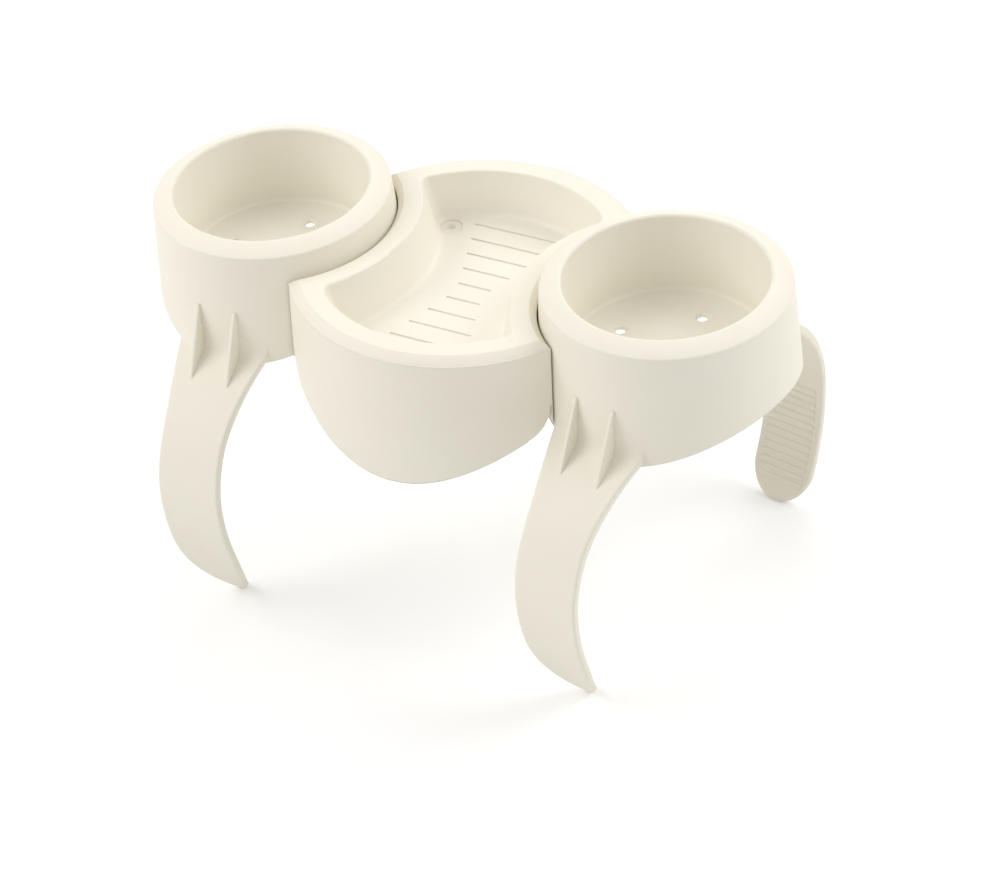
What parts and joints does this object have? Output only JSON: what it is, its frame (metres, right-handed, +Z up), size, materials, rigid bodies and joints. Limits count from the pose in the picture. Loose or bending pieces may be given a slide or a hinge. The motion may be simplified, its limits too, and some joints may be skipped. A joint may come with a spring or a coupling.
{
  "type": "hot tub tray",
  "caption": "Snack tray between two cup holders that straddles the round top of a tub wall, each holder with a pointed claw in front and a ribbed paddle behind",
  "frame": {"origin": "on the floor that the legs stand on, under the middle of the whole", "axes": "+Z up, +X from the left cup holder to the right one, -Y towards the pointed claws, +Y towards the ribbed paddles"},
  "size_m": [0.3308, 0.2204, 0.197],
  "materials": {
    "ivory_plastic": "smooth moulded ivory plastic with a soft satin sheen"
  },
  "bodies": {
    "root": {"left_cup_holder": "ivory_plastic", "right_cup_holder": "ivory_plastic", "snack_tray": "ivory_plastic"}
  },
  "joints": []
}
